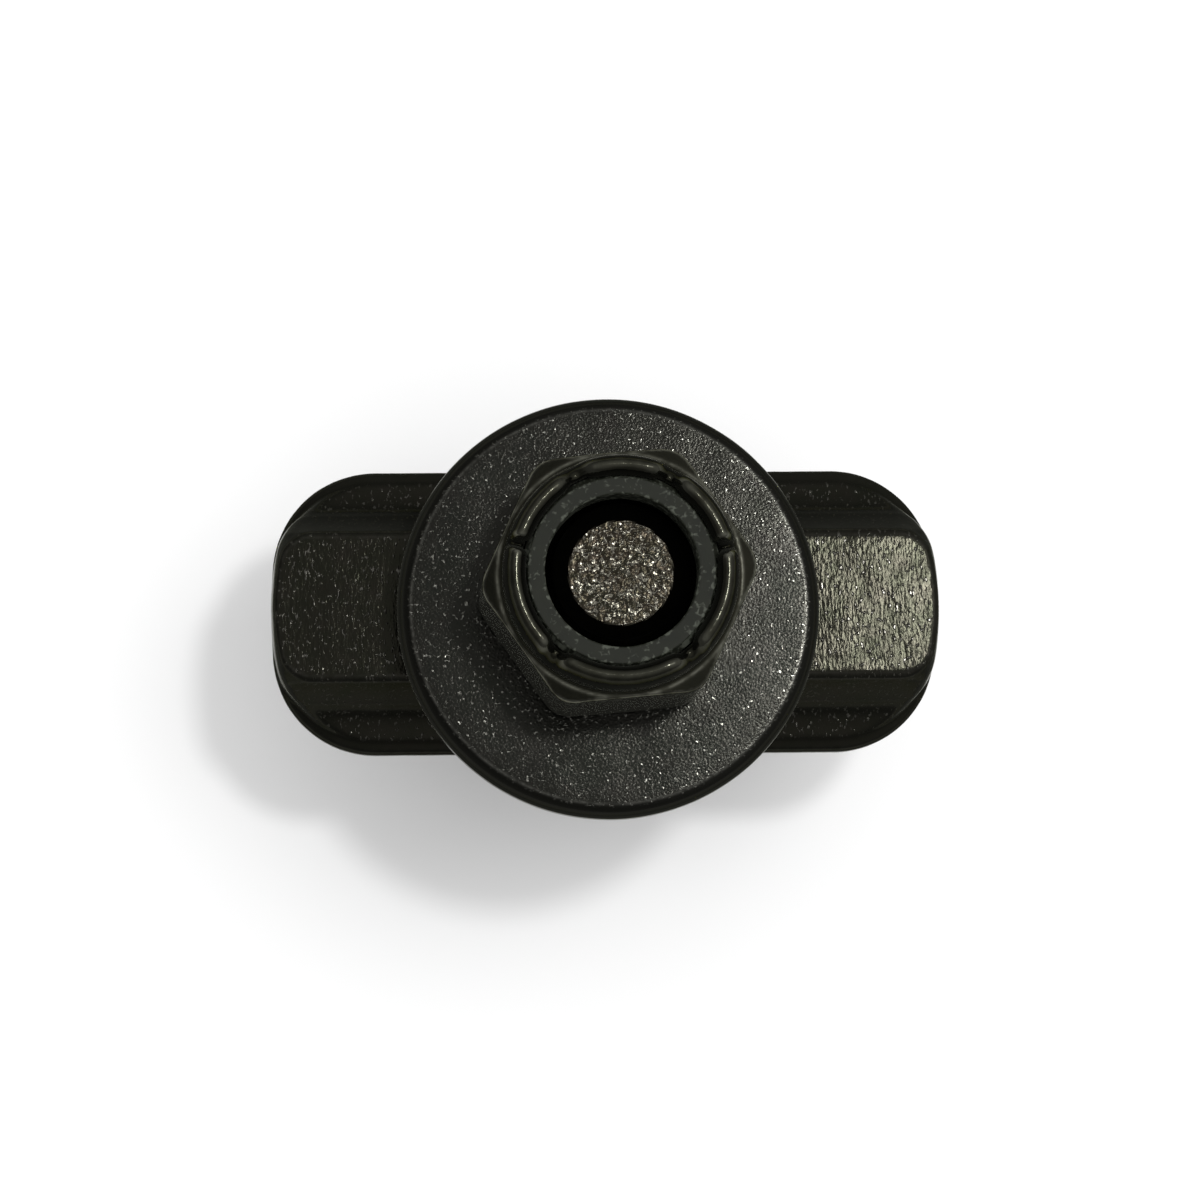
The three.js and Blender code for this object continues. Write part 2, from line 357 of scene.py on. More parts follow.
# Turned nylon: matt and slightly cloudy, with fine tool rings and pale scuffs, most of them at its edges.
def turnedNylon(name, look):
    material = bpy.data.materials.new(name)
    material.use_nodes = True
    tree = material.node_tree
    tree.nodes.clear()
    coords = addNode(tree, "ShaderNodeTexCoord").outputs["Object"]
    flat = addNode(tree, "ShaderNodeVectorMath", {"operation": "MULTIPLY"}, {0: coords, 1: (1, 1, 0)})
    radius = addNode(tree, "ShaderNodeVectorMath", {"operation": "LENGTH"}, {0: flat.outputs["Vector"]})
    cloud = addNode(tree, "ShaderNodeTexNoise", None,
                    {"Vector": coords, "Scale": 1 / (look["cloudSize"] * mm), "Detail": 3.0})
    colour = addNode(tree, "ShaderNodeMix", {"data_type": "RGBA"},
                     {"Factor": cloud.outputs["Fac"], "A": linearColour(look["dark"]),
                      "B": linearColour(look["light"])})
    scuffs = addNode(tree, "ShaderNodeTexNoise", None,
                     {"Vector": coords, "Scale": 1 / (look["scuffSize"] * mm), "Detail": 3.0,
                      "Distortion": look["scuffTwist"]})
    edge = addNode(tree, "ShaderNodeAttribute", {"attribute_name": "wear"}).outputs["Fac"]
    likely = addNode(tree, "ShaderNodeMath", {"operation": "MULTIPLY_ADD"},
                     {0: edge, 1: look["edgeScuffs"], 2: scuffs.outputs["Fac"]})
    share = addNode(tree, "ShaderNodeMapRange", None,
                    {"Value": likely.outputs[0], "From Min": look["scuffFrom"], "From Max": look["scuffTo"]})
    scuffed = addNode(tree, "ShaderNodeMix", {"data_type": "RGBA"},
                      {"Factor": share.outputs["Result"], "A": colour.outputs["Result"],
                       "B": linearColour(look["scuffed"])})
    marks = addNode(tree, "ShaderNodeTexNoise", {"noise_dimensions": "1D"},
                    {"W": radius.outputs["Value"], "Scale": 1 / (look["markSize"] * mm), "Detail": 2.0})
    bump = addNode(tree, "ShaderNodeBump", None,
                   {"Height": marks.outputs["Fac"], "Distance": look["markDepth"] * mm})
    shader = addNode(tree, "ShaderNodeBsdfPrincipled", None,
                     {"Base Color": scuffed.outputs["Result"], "Roughness": look["rough"],
                      "Specular IOR Level": look["specular"], "Normal": bump.outputs["Normal"]})
    addNode(tree, "ShaderNodeOutputMaterial", None, {"Surface": shader.outputs["BSDF"]})
    return material


forgedSteel = blackenedSteel("black-oxide forged steel", forgedLook)
washerSteel = blackenedSteel("black-oxide stamped steel", washerLook)
lockNutSteel = blackenedSteel("oiled black-oxide steel", lockNutLook)
rolledSteel = blackenedSteel("black-oxide rolled thread", boltLook)
shearedSteel = blackenedSteel("black-oxide sheared steel", boltEndLook)
nylon = turnedNylon("turned nylon", nylonLook)


def dress(piece, node, body, material):
    piece.data.materials.clear()
    piece.data.materials.append(material)
    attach(piece, body)
    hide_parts(node)


wingNut = {
    "cell": 0.2, "hubAboveSpine": 3.0, "hubTop": 9.5, "hubWaist": 10.4, "hubFoot": 9.2, "hubRound": 0.45,
    "hubFillet": 1.6, "bore": 4.9, "mouth": 0.7, "mouthBlend": 0.12,
    "halfLength": 20.4, "halfWidth": 8.75, "cornerRadius": 6.3,
    "rimWidth": 0.65, "rimHalfHeight": 0.85, "rimRound": 0.6, "rimBlend": 0.25,
    "spineHalfHeight": 4.3, "spineHalfWidth": 4.45, "spineHalfLength": 20.2, "spineCorner": 1.5,
    "spineRound": 0.28, "endCrown": 0.75, "wallDepth": 2, "wallDraft": 0.5, "endDraft": 0.1,
    "shoulderLow": 1.15, "shoulderRise": 1.15, "shoulderSpan": 2.7, "shoulderSlope": 0.8,
    "shoulderEdge": 0.5, "shoulderFillet": 1.3,
    "waviness": 0.014, "swellSize": 2.2, "rippleSize": 0.8, "rippleShare": 0.5, "sunk": 0.6,
    "seatFade": 0.6, "edgeWear": 1.0, "calmMargin": 0.3, "calmFade": 0.2, "calmWalls": 0.7,
    "steepFrom": 0.8, "steepFade": 0.15,
}
nutLow, nutHigh = nodeBox("wing_nut")
hubHeight = nutHigh[2] - nutLow[2]
partingZ = nutHigh[2] - wingNut["hubAboveSpine"] - wingNut["spineHalfHeight"]


def wingNutField(x, y, z):
    w = wingNut
    above = np.abs(z - partingZ)
    across = np.abs(y)
    outline = roundedRectangle(x, y, w["halfLength"], w["halfWidth"], w["cornerRadius"])
    rim = roundedSlab(outline, above - w["rimHalfHeight"], w["rimRound"])
    drop = np.minimum(w["spineHalfHeight"] - above, w["wallDepth"])
    crown = w["endCrown"] * np.minimum(across / w["spineHalfWidth"], 1.3) ** 2
    spinePlan = roundedRectangle(np.abs(x) + crown, y, w["spineHalfLength"] + w["endDraft"] * drop,
                                 w["spineHalfWidth"] + w["wallDraft"] * drop, w["spineCorner"])
    spine = roundedSlab(spinePlan, above - w["spineHalfHeight"], w["spineRound"])
    inward = np.clip((w["halfWidth"] - w["rimWidth"] - across) / w["shoulderSpan"], 0, 1.3)
    shoulderTop = w["shoulderLow"] + w["shoulderRise"] * inward ** 2
    slope = w["shoulderSlope"] * (above - shoulderTop)
    shoulder = smoothMax(outline + w["rimWidth"], slope, w["shoulderEdge"])
    wings = smoothMin(smoothMin(spine, shoulder, w["shoulderFillet"]), rim, w["rimBlend"])
    radius = np.hypot(x, y)
    hubRadius = np.interp(z, [nutLow[2], partingZ, nutHigh[2]], [w["hubFoot"], w["hubWaist"], w["hubTop"]])
    middle = (nutLow[2] + nutHigh[2]) / 2
    hub = roundedSlab(radius - hubRadius, np.abs(z - middle) - hubHeight / 2, w["hubRound"])
    body = smoothMin(wings, hub, w["hubFillet"])
    mouth = w["bore"] + w["mouth"] - np.minimum(z - nutLow[2], nutHigh[2] - z)
    return smoothMax(body, np.maximum(w["bore"], mouth) - radius, w["mouthBlend"])


# The forging's skin wanders a little, but its two seats are machined flat.
def forgedSkin(points, field):
    w = wingNut
    fromSeat = np.minimum(points[:, 2] - nutLow[2], nutHigh[2] - points[:, 2])
    amount = w["waviness"] * np.clip(fromSeat / w["seatFade"], 0, 1)
    ripple = w["rippleShare"] * noiseAt(points, w["rippleSize"], seed=9)
    swell = noiseAt(points, w["swellSize"], seed=3) + ripple - w["sunk"]
    return points + surfaceNormals(points, field) * (amount * swell)[:, None]


# The dies rubbed the trimmed rim and the steep walls smooth: no grain on the rim, and little on the walls.
def rubbedSmooth(points):
    w = wingNut
    outline = roundedRectangle(points[:, 0], points[:, 1], w["halfLength"], w["halfWidth"],
                               w["cornerRadius"])
    rim = np.clip((outline + w["rimWidth"] + w["calmMargin"]) / w["calmFade"], 0, 1)
    rim = rim * (np.abs(points[:, 2] - partingZ) < w["rimHalfHeight"] + w["calmMargin"])
    facingUp = np.abs(surfaceNormals(points, wingNutField)[:, 2])
    steep = np.clip((w["steepFrom"] - facingUp) / w["steepFade"], 0, 1)
    return np.maximum(rim, w["calmWalls"] * steep)


wingPiece = fieldPiece("wingNutForging", wingNutField, nutLow, nutHigh, wingNut["cell"],
                       wingNut["edgeWear"], forgedSkin)
storeOnPoints(wingPiece, "calm", rubbedSmooth(pointsOf(wingPiece)))
dress(wingPiece, "wing_nut", "wing_nut", forgedSteel)
print("wing nut made")


washer = {
    "segments": 288, "hole": 5.56, "bottomEdge": 0.3, "holeEdge": 0.25,
    "edgeWidth": 0.77, "edgeStart": 25, "rollOff": 0.2, "rollDrop": 0.016,
    "wanderSize": 2.5, "dishing": 0.012, "outOfRound": 0.0008,
    "creaseWidth": 0.14, "creaseHalf": 0.05, "creaseWear": 0.45, "calmFade": 0.1,
}


# Punching rolls the rim down: a faint fall-off, a crease, and then a long round to the side.
def washerOutline(outer, low, high):
    w = washer
    hole = w["hole"] + w["holeEdge"]
    crease = outer - w["edgeWidth"]
    start = math.radians(w["edgeStart"])
    edge = w["edgeWidth"] / (1 - math.sin(start))
    edgeZ = high - w["rollDrop"] - edge * math.cos(start)
    edgeArc = arc(outer - edge, edgeZ, edge, 0, 90 - w["edgeStart"], 14)
    steps = (0.25, 0.5, 0.75, 1)
    rollOff = [[crease - w["rollOff"] * t, high - w["rollDrop"] * (1 - t) ** 2] for t in steps]
    bottom = [[r, low] for r in span(hole, outer - w["bottomEdge"], 14)]
    top = [[r, high] for r in span(crease - w["rollOff"], hole, 14)]
    return (
        arc(hole, low + w["holeEdge"], w["holeEdge"], 180, 270, 4)
        + bottom
        + arc(outer - w["bottomEdge"], low + w["bottomEdge"], w["bottomEdge"], -90, -8, 5)
        + edgeArc
        + rollOff
        + top
        + arc(hole, high - w["holeEdge"], w["holeEdge"], 90, 180, 4)
    )


washerLow, washerHigh = nodeBox("flat_washer")
washerCentre = (washerLow + washerHigh) / 2
washerRadius = (washerHigh[0] - washerLow[0]) / 2
points, quads = turnedRing(washerOutline(washerRadius, washerLow[2], washerHigh[2]), washer["segments"])
ringRadius = np.hypot(points[:, 0], points[:, 1])
wander = noiseAt(points, washer["wanderSize"], seed=5) - 1
points[:, 2] += washer["dishing"] * wander * (points[:, 2] > washerCentre[2])
points[:, :2] *= (1 + washer["outOfRound"] * wander)[:, None]
points[:, :2] += washerCentre[:2]
washerPiece = meshObject("flatWasher", points, quads)
pastCrease = ringRadius - washerRadius + washer["edgeWidth"]
worn = np.clip(1 - np.abs(pastCrease + washer["creaseHalf"]) / washer["creaseWidth"], 0, 1)
calm = np.clip((pastCrease - washer["creaseHalf"]) / washer["calmFade"], 0, 1)
storeOnPoints(washerPiece, "wear", washer["creaseWear"] * worn)
storeOnPoints(washerPiece, "calm", calm)
dress(washerPiece, "flat_washer", "washer", washerSteel)
print("washer made")


lockNut = {
    "cell": 0.125, "acrossFlats": 14.29, "turn": 5, "hexHeight": 9.3, "cornerBlend": 0.9,
    "shoulder": 7.12, "edgeBlend": 0.12, "collar": 6.85, "crest": 6.12, "rollHeight": 1.7, "rollFillet": 0.2,
    "lip": 5.35, "lipBlend": 0.15, "seatLow": 7.7, "seatHigh": 11.1, "seat": 5.8,
    "rollFoot": 2, "bore": 4.82, "mouth": 0.6, "mouthBlend": 0.1,
    "stakes": {
        13: (1.2, 0.3), 62: (1.0, 0.7), 115: (0.8, 0.8),
        165: (1.2, 0.26), 231: (0.9, 0.6), 309: (0.9, 0.7),
    },
    "edgeWear": 4, "wearShare": 0.6, "ledgeWidth": 0.12, "ledgeReach": 0.2,
}
lockLow, lockHigh = nodeBox("lock_nut")


# Where the collar is staked down its crest dips, by a depth and half-width given for each angle.
def stakeDip(x, y):
    dip = 0
    for degrees, (depth, width) in lockNut["stakes"].items():
        angle = math.radians(degrees)
        along = x * math.cos(angle) + y * math.sin(angle)
        aside = y * math.cos(angle) - x * math.sin(angle)
        dip = dip + depth * np.exp(-(aside / width) ** 2) * (along > 0)
    return dip


def lockNutField(x, y, z):
    n = lockNut
    radius = np.hypot(x, y)
    h = z - lockLow[2]
    height = lockHigh[2] - lockLow[2]
    steep = math.sqrt(3)
    edge = n["edgeBlend"]
    form = hexagonPlan(x, y, n["acrossFlats"], n["turn"], n["cornerBlend"])
    form = smoothMax(form, (radius - n["shoulder"] + steep * (h - n["hexHeight"])) / 2, edge)
    form = smoothMax(form, (radius - n["shoulder"] - steep * h) / 2, edge)
    form = smoothMax(form, np.maximum(h - n["hexHeight"], -h), edge)
    outward = np.abs(radius - n["crest"]) / (n["collar"] - n["crest"])
    upward = np.maximum(h - height + n["rollHeight"] + stakeDip(x, y), 0) / n["rollHeight"]
    roll = ((outward ** 2 + upward ** 2) ** 0.5 - 1) * (n["collar"] - n["crest"])
    form = smoothMin(form, np.maximum(roll, n["rollFoot"] - h), n["rollFillet"])
    form = smoothMax(form, -np.maximum(radius - n["lip"], n["seatLow"] - h), n["lipBlend"])
    seatMiddle = (n["seatLow"] + n["seatHigh"]) / 2
    seatHalf = (n["seatHigh"] - n["seatLow"]) / 2
    form = np.maximum(form, -np.maximum(radius - n["seat"], np.abs(h - seatMiddle) - seatHalf))
    mouth = np.maximum(n["bore"], n["bore"] + n["mouth"] - h)
    return smoothMax(form, mouth - radius, n["mouthBlend"])


lockPiece = fieldPiece("lockNutShell", lockNutField, lockLow, lockHigh, lockNut["cell"])
lockPoints = pointsOf(lockPiece)
ledge = np.hypot(lockPoints[:, 0], lockPoints[:, 1]) - lockNut["shoulder"]
beside = np.abs(lockPoints[:, 2] - lockLow[2] - lockNut["hexHeight"]) < lockNut["ledgeReach"]
# The thin ring where the chamfer meets the ledge is rubbed as bright as the corners.
ringWear = np.clip(1 - np.abs(ledge) / lockNut["ledgeWidth"], 0, 1) * beside
edgeWear = np.clip(edgeSharpness(lockPoints, lockNutField) * lockNut["edgeWear"], 0, 1)
storeOnPoints(lockPiece, "wear", lockNut["wearShare"] * np.maximum(edgeWear, ringWear))
dress(lockPiece, "lock_nut", "lock_nut", lockNutSteel)

nylonRing = {
    "segments": 192, "outer": 5.7, "bore": 4.42, "lowBore": 4.8, "edge": 0.12,
    "lipOuter": 5.42, "lipEdge": 0.08, "lipFoot": 0.3, "ledge": 0.5, "wallEnd": 0.45, "footEdge": 0.2,
    "coneTop": 1.4, "coneFoot": 0.9, "scuffReach": 0.25,
}
ringLow, ringHigh = nodeBox("nylon_insert")


def nylonOutline():
    n = nylonRing
    low, high = ringLow[2], ringHigh[2]
    foot, lip = n["footEdge"], n["lipEdge"]
    return (
        [[n["lowBore"], low]]
        + [[r, low] for r in span(n["lowBore"], n["outer"] - foot, 3)]
        + arc(n["outer"] - foot, low + foot, foot, -90, 0, 3)
        + [[n["outer"], z] for z in span(low + foot, high - n["wallEnd"], 4)]
        + [[n["outer"], high - n["ledge"]], [n["lipOuter"], high - n["lipFoot"]]]
        + arc(n["lipOuter"] - lip, high - lip, lip, 0, 90, 3)
        + [[r, high] for r in span(n["lipOuter"] - lip, n["bore"] + n["edge"], 8)]
        + arc(n["bore"] + n["edge"], high - n["edge"], n["edge"], 90, 180, 4)
        + [[n["bore"], z] for z in span(high - n["edge"], low + n["coneTop"], 6)]
        + [[n["bore"], low + n["coneTop"]], [n["lowBore"], low + n["coneFoot"]]]
    )


points, quads = turnedRing(nylonOutline(), nylonRing["segments"])
ringRadius = np.hypot(points[:, 0], points[:, 1])
ringPiece = meshObject("nylonRing", points, quads)
fromEdge = np.minimum(ringRadius - nylonRing["bore"], nylonRing["lipOuter"] - ringRadius)
storeOnPoints(ringPiece, "wear", np.clip(1 - fromEdge / nylonRing["scuffReach"], 0, 1))
dress(ringPiece, "nylon_insert", "insert", nylon)
print("lock nut made")


# The bolt: a field for the head, and Geometry Nodes for the rolled thread and the rough end.
boltHead = {
    "cell": 0.2, "acrossFlats": 14.29, "cornerBlend": 0.3, "edgeBlend": 0.15, "height": 6.0, "pad": 0.4,
    "padRadius": 6.8, "padMiddle": 4, "padRound": 0.1, "edgeWear": 0.35,
}
thread = {
    "Pitch": 1.5875, "Crest Radius": 4.69, "Crest Edge": 0.15, "Root Edge": 0.78, "Depth": 0.9,
    "Start": 5.6, "Plain End": 7.4, "Run-out": 1.2,
    "End Radius": 3.05, "End Roughness": 0.1, "Pit Scale": 2.6, "Rim Fade": 6.0,
}
threadGrid = {"columns": 144, "rowsPerTurn": 16, "capTurns": 2, "pitRoom": 0.04, "weld": 0.0005}
boltLow, boltHigh = nodeBox("hex_bolt")
thread["End"] = float(boltHigh[2]) - threadGrid["pitRoom"]


def boltHeadField(x, y, z):
    b = boltHead
    radius = np.hypot(x, y)
    plan = hexagonPlan(x, y, b["acrossFlats"], 0, b["cornerBlend"])
    head = smoothMax(plan, (radius - b["padRadius"] - math.sqrt(3) * z) / 2, b["edgeBlend"])
    head = smoothMax(head, np.maximum(z - b["height"] + b["pad"], -z), b["edgeBlend"])
    padHalf = b["height"] - b["padMiddle"]
    pad = roundedSlab(radius - b["padRadius"], np.abs(z - b["padMiddle"]) - padHalf, b["padRound"])
    return smoothMin(head, pad, b["padRound"])


def threadTree():
    tree = bpy.data.node_groups.new("rolledThread", "GeometryNodeTree")
    tree.interface.new_socket("Geometry", in_out="OUTPUT", socket_type="NodeSocketGeometry")
    for name in thread:
        tree.interface.new_socket(name, in_out="INPUT", socket_type="NodeSocketFloat")
    sizes = addNode(tree, "NodeGroupInput").outputs
    turns = math.ceil((thread["End"] - thread["Start"]) / thread["Pitch"]) + 3 + threadGrid["capTurns"]

    grid = addNode(tree, "GeometryNodeMeshGrid", None,
                   {"Size X": 1.0, "Size Y": float(turns), "Vertices X": threadGrid["columns"] + 1,
                    "Vertices Y": turns * threadGrid["rowsPerTurn"] + 1})
    position = addNode(tree, "GeometryNodeInputPosition").outputs[0]
    place = addNode(tree, "ShaderNodeSeparateXYZ", None, {"Vector": position}).outputs
    # One row of the grid climbs one pitch in each turn, so its columns meet again a pitch higher.
    around = addNode(tree, "ShaderNodeMath", {"operation": "ADD"}, {0: place["X"], 1: 0.5}).outputs[0]
    row = addNode(tree, "ShaderNodeMath", {"operation": "ADD"}, {0: place["Y"], 1: turns / 2 - 2}).outputs[0]
    climb = addNode(tree, "ShaderNodeMath", {"operation": "ADD"}, {0: row, 1: around}).outputs[0]
    climbed = addNode(tree, "ShaderNodeMath", {"operation": "MULTIPLY"},
                      {0: climb, 1: sizes["Pitch"]}).outputs[0]
    rise = addNode(tree, "ShaderNodeMath", {"operation": "ADD"}, {0: climbed, 1: sizes["Start"]}).outputs[0]
    aboveStart = addNode(tree, "ShaderNodeMath", {"operation": "MAXIMUM"},
                         {0: rise, 1: sizes["Start"]}).outputs[0]
    height = addNode(tree, "ShaderNodeMath", {"operation": "MINIMUM"},
                     {0: aboveStart, 1: sizes["End"]}).outputs[0]
    # Flat crests and roots with 60 degree flanks, fading out to plain shank under the head.
    phase = addNode(tree, "ShaderNodeMath", {"operation": "FRACT"}, {0: row}).outputs[0]
    doubled = addNode(tree, "ShaderNodeMath", {"operation": "MULTIPLY"}, {0: phase, 1: 2.0}).outputs[0]
    centred = addNode(tree, "ShaderNodeMath", {"operation": "SUBTRACT"}, {0: doubled, 1: 1.0}).outputs[0]
    wave = addNode(tree, "ShaderNodeMath", {"operation": "ABSOLUTE"}, {0: centred}).outputs[0]
    groove = addNode(tree, "ShaderNodeMapRange", None,
                     {"Value": wave, "From Min": sizes["Crest Edge"],
                      "From Max": sizes["Root Edge"]}).outputs[0]
    fullDepth = addNode(tree, "ShaderNodeMath", {"operation": "ADD"},
                        {0: sizes["Plain End"], 1: sizes["Run-out"]}).outputs[0]
    fade = addNode(tree, "ShaderNodeMapRange", {"interpolation_type": "SMOOTHSTEP"},
                   {"Value": height, "From Min": sizes["Plain End"], "From Max": fullDepth}).outputs[0]
    faded = addNode(tree, "ShaderNodeMath", {"operation": "MULTIPLY"}, {0: groove, 1: fade}).outputs[0]
    cut = addNode(tree, "ShaderNodeMath", {"operation": "MULTIPLY"},
                  {0: faded, 1: sizes["Depth"]}).outputs[0]
    grooved = addNode(tree, "ShaderNodeMath", {"operation": "SUBTRACT"},
                      {0: sizes["Crest Radius"], 1: cut}).outputs[0]
    # The end is chamfered at 45 degrees; past both ends the rows close to a point, as flat discs.
    belowEnd = addNode(tree, "ShaderNodeMath", {"operation": "SUBTRACT"},
                       {0: sizes["End"], 1: rise}).outputs[0]
    chamferRise = addNode(tree, "ShaderNodeMath", {"operation": "MAXIMUM"}, {0: belowEnd, 1: 0.0}).outputs[0]
    chamfer = addNode(tree, "ShaderNodeMath", {"operation": "ADD"},
                      {0: sizes["End Radius"], 1: chamferRise}).outputs[0]
    capLength = addNode(tree, "ShaderNodeMath", {"operation": "MULTIPLY"},
                        {0: sizes["Pitch"], 1: float(threadGrid["capTurns"])}).outputs[0]
    overEnd = addNode(tree, "ShaderNodeMath", {"operation": "SUBTRACT"},
                      {0: rise, 1: sizes["End"]}).outputs[0]
    capRise = addNode(tree, "ShaderNodeMath", {"operation": "MAXIMUM"}, {0: overEnd, 1: 0.0}).outputs[0]
    past = addNode(tree, "ShaderNodeMath", {"operation": "DIVIDE"}, {0: capRise, 1: capLength}).outputs[0]
    underStart = addNode(tree, "ShaderNodeMath", {"operation": "SUBTRACT"},
                         {0: sizes["Start"], 1: rise}).outputs[0]
    footDrop = addNode(tree, "ShaderNodeMath", {"operation": "MAXIMUM"}, {0: underStart, 1: 0.0}).outputs[0]
    before = addNode(tree, "ShaderNodeMath", {"operation": "DIVIDE"},
                     {0: footDrop, 1: sizes["Pitch"]}).outputs[0]
    closed = addNode(tree, "ShaderNodeMath", {"operation": "ADD"}, {0: past, 1: before}).outputs[0]
    unclosed = addNode(tree, "ShaderNodeMath", {"operation": "SUBTRACT"}, {0: 1.0, 1: closed}).outputs[0]
    closing = addNode(tree, "ShaderNodeMath", {"operation": "MAXIMUM"}, {0: unclosed, 1: 0.0}).outputs[0]
    narrower = addNode(tree, "ShaderNodeMath", {"operation": "MINIMUM"}, {0: grooved, 1: chamfer}).outputs[0]
    radius = addNode(tree, "ShaderNodeMath", {"operation": "MULTIPLY"}, {0: narrower, 1: closing}).outputs[0]
    angle = addNode(tree, "ShaderNodeMath", {"operation": "MULTIPLY"},
                    {0: around, 1: 2 * math.pi}).outputs[0]
    cosine = addNode(tree, "ShaderNodeMath", {"operation": "COSINE"}, {0: angle}).outputs[0]
    sine = addNode(tree, "ShaderNodeMath", {"operation": "SINE"}, {0: angle}).outputs[0]
    flatX = addNode(tree, "ShaderNodeMath", {"operation": "MULTIPLY"}, {0: cosine, 1: radius}).outputs[0]
    flatY = addNode(tree, "ShaderNodeMath", {"operation": "MULTIPLY"}, {0: sine, 1: radius}).outputs[0]
    flat = addNode(tree, "ShaderNodeCombineXYZ", None, {"X": flatX, "Y": flatY, "Z": height}).outputs[0]
    # The sheared end is pitted, least at its rim.
    pits = addNode(tree, "ShaderNodeTexNoise", None,
                   {"Vector": flat, "Scale": sizes["Pit Scale"], "Detail": 3.0}).outputs[0]
    fromRim = addNode(tree, "ShaderNodeMath", {"operation": "MULTIPLY"},
                      {0: past, 1: sizes["Rim Fade"]}).outputs[0]
    inside = addNode(tree, "ShaderNodeMath", {"operation": "MINIMUM"}, {0: fromRim, 1: 1.0}).outputs[0]
    pitLevel = addNode(tree, "ShaderNodeMath", {"operation": "SUBTRACT"}, {0: pits, 1: 0.5}).outputs[0]
    pitShape = addNode(tree, "ShaderNodeMath", {"operation": "MULTIPLY"},
                       {0: pitLevel, 1: inside}).outputs[0]
    pitDepth = addNode(tree, "ShaderNodeMath", {"operation": "MULTIPLY"},
                       {0: pitShape, 1: sizes["End Roughness"]}).outputs[0]
    lifted = addNode(tree, "ShaderNodeCombineXYZ", None, {"Z": pitDepth}).outputs[0]
    pitted = addNode(tree, "ShaderNodeVectorMath", {"operation": "ADD"}, {0: flat, 1: lifted}).outputs[0]
    metres = addNode(tree, "ShaderNodeVectorMath", {"operation": "SCALE"},
                     {0: pitted, "Scale": mm}).outputs[0]
    isEnd = addNode(tree, "ShaderNodeMath", {"operation": "GREATER_THAN"}, {0: past, 1: 0.0}).outputs[0]
    kept = addNode(tree, "GeometryNodeStoreNamedAttribute", {"data_type": "FLOAT", "domain": "POINT"},
                   {"Geometry": grid.outputs["Mesh"], "Name": "sheared", "Value": isEnd})
    placed = addNode(tree, "GeometryNodeSetPosition", None,
                     {"Geometry": kept.outputs["Geometry"], "Position": metres})
    welded = addNode(tree, "GeometryNodeMergeByDistance", None,
                     {"Geometry": placed.outputs["Geometry"], "Distance": threadGrid["weld"] * mm})
    real = addNode(tree, "GeometryNodeRealizeInstances", None, {"Geometry": welded.outputs["Geometry"]})
    steel = addNode(tree, "GeometryNodeSetMaterial", None,
                    {"Geometry": real.outputs["Geometry"], "Material": rolledSteel})
    onEnd = addNode(tree, "GeometryNodeInputNamedAttribute", {"data_type": "FLOAT"}, {"Name": "sheared"})
    whole = addNode(tree, "ShaderNodeMath", {"operation": "GREATER_THAN"},
                    {0: onEnd.outputs["Attribute"], 1: 0.99}).outputs[0]
    ended = addNode(tree, "GeometryNodeSetMaterial", None,
                    {"Geometry": steel.outputs["Geometry"], "Selection": whole, "Material": shearedSteel})
    addNode(tree, "NodeGroupOutput", None, {"Geometry": ended.outputs["Geometry"]})
    return tree


def threadedShank():
    holder = bpy.data.objects.new("shankHolder", bpy.data.meshes.new("shankHolder"))
    collection.objects.link(holder)
    modifier = holder.modifiers.new("thread", "NODES")
    modifier.node_group = threadTree()
    for item in modifier.node_group.interface.items_tree:
        if item.in_out == "INPUT":
            modifier[item.identifier] = float(thread[item.name])
    evaluated = holder.evaluated_get(bpy.context.evaluated_depsgraph_get())
    mesh = bpy.data.meshes.new_from_object(evaluated)
    bpy.data.objects.remove(holder)
    shank = bpy.data.objects.new("threadedShank", mesh)
    collection.objects.link(shank)
    return shank


headHigh = [boltHigh[0], boltHigh[1], boltHead["height"]]
headPiece = fieldPiece("hexBolt", boltHeadField, boltLow, headHigh, boltHead["cell"], boltHead["edgeWear"])
dress(headPiece, "hex_bolt", "bolt", rolledSteel)
shankPiece = threadedShank()
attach(shankPiece, "bolt")
print("bolt made, shank", len(shankPiece.data.vertices), "points")


# The camera looks almost straight down the bolt, from a little to the front and the left.
view = {
    "distance": 280.0, "tiltDown": 6.9, "tiltSide": 2.9, "roll": 0.7, "field": 71.7, "aim": (-0.56, 0.36),
    "sensor": 36, "nearest": 0.01,
}
aim = Vector((washerCentre[0] + view["aim"][0], washerCentre[1] + view["aim"][1], washerHigh[2])) * mm
towards = Vector((-math.tan(math.radians(view["tiltSide"])), -math.tan(math.radians(view["tiltDown"])), 1))
towards.normalize()
right = Vector((0, 1, 0)).cross(towards).normalized()
up = towards.cross(right)
camera = bpy.data.objects.new("camera", bpy.data.cameras.new("camera"))
camera.data.sensor_width = view["sensor"]
camera.data.lens = view["sensor"] * view["distance"] / view["field"]
camera.data.clip_start = view["nearest"]
axes = Matrix((right, up, towards)).transposed().to_4x4()
rolled = axes @ Matrix.Rotation(-math.radians(view["roll"]), 4, "Z")
camera.matrix_world = Matrix.Translation(aim + towards * view["distance"] * mm) @ rolled
collection.objects.link(camera)
stageScene.camera = camera
print("camera set")

# A small lamp picks out the grain, and a wide one beyond it on the right falls off slowly to the left.
lights = {
    "keyLight": {"place": (101, 60, 500), "size": 50, "radiance": 106.0},
    "wideLight": {"place": (210, 80, 480), "size": 240, "radiance": 2.4},
}
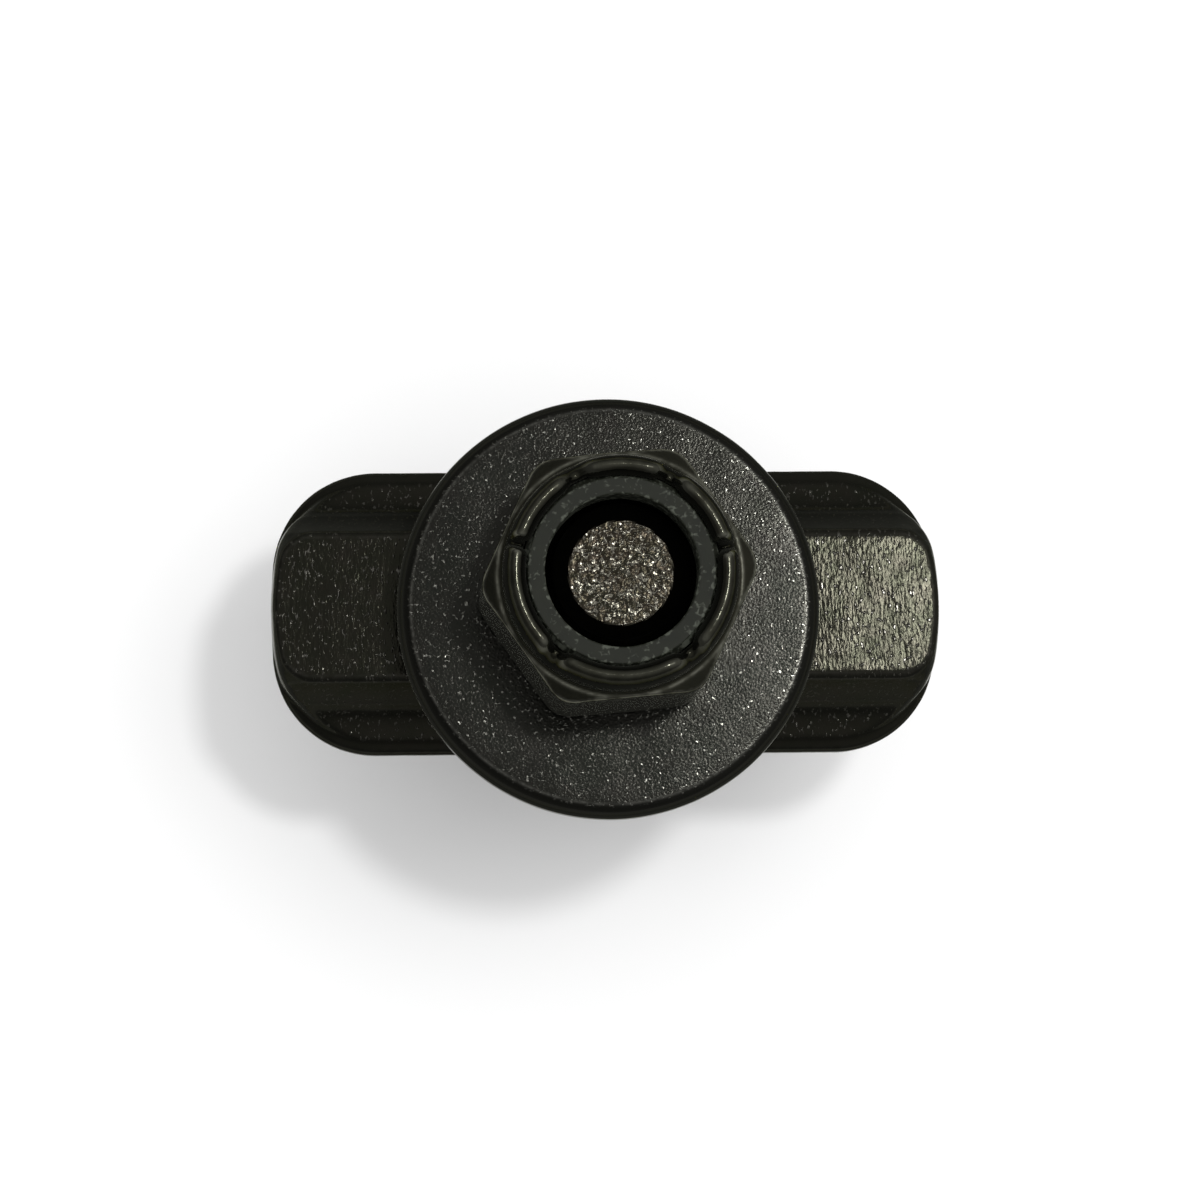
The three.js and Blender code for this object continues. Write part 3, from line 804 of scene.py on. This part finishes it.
# The room is brightest overhead and dimmer near the horizon, so that slopes read darker than flats.
room = {
    "dark": 0.35, "bright": 1.35, "brightSide": (0.3, 0.15, 0.94), "dimBelow": 0.2,
    "floor": 0.92, "floorRough": 0.9, "floorHalf": 3.0,
}
for name, light in lights.items():
    lamp = bpy.data.objects.new(name, bpy.data.lights.new(name, "AREA"))
    lamp.data.shape = "DISK"
    lamp.data.size = light["size"] * mm
    lamp.data.energy = light["radiance"] * math.pi ** 2 * (light["size"] * mm / 2) ** 2
    lamp.location = Vector(light["place"]) * mm
    aimDirection = lamp.location - Vector((0, 0, washerHigh[2])) * mm
    lamp.rotation_euler = aimDirection.to_track_quat("Z", "Y").to_euler()
    collection.objects.link(lamp)

world = bpy.data.worlds.new("studio")
world.use_nodes = True
worldTree = world.node_tree
skyward = addNode(worldTree, "ShaderNodeTexCoord").outputs["Generated"]
facing = addNode(worldTree, "ShaderNodeVectorMath", {"operation": "DOT_PRODUCT"},
                 {0: skyward, 1: room["brightSide"]})
level = addNode(worldTree, "ShaderNodeMapRange", None,
                {"Value": facing.outputs["Value"], "From Min": room["dimBelow"], "From Max": 1.0,
                 "To Min": room["dark"], "To Max": room["bright"]})
worldTree.links.new(level.outputs["Result"], worldTree.nodes["Background"].inputs["Strength"])
worldTree.nodes["Background"].inputs["Color"].default_value = (1, 1, 1, 1)
stageScene.world = world
stageScene.view_settings.view_transform = "Standard"

floorMesh = bpy.data.meshes.new("floor")
half = room["floorHalf"]
corners = [(-half, -half, 0), (half, -half, 0), (half, half, 0), (-half, half, 0)]
floorMesh.from_pydata(corners, [], [(0, 1, 2, 3)])
floor = bpy.data.objects.new("floor", floorMesh)
# Paper is a dull, even white, so it takes soft shadows and shows no highlight.
floorPaint = bpy.data.materials.new("matt white paper")
floorPaint.use_nodes = True
paper = floorPaint.node_tree.nodes["Principled BSDF"]
paper.inputs["Base Color"].default_value = [room["floor"]] * 3 + [1]
paper.inputs["Roughness"].default_value = room["floorRough"]
floorMesh.materials.append(floorPaint)
collection.objects.link(floor)
print("room and lamps set")
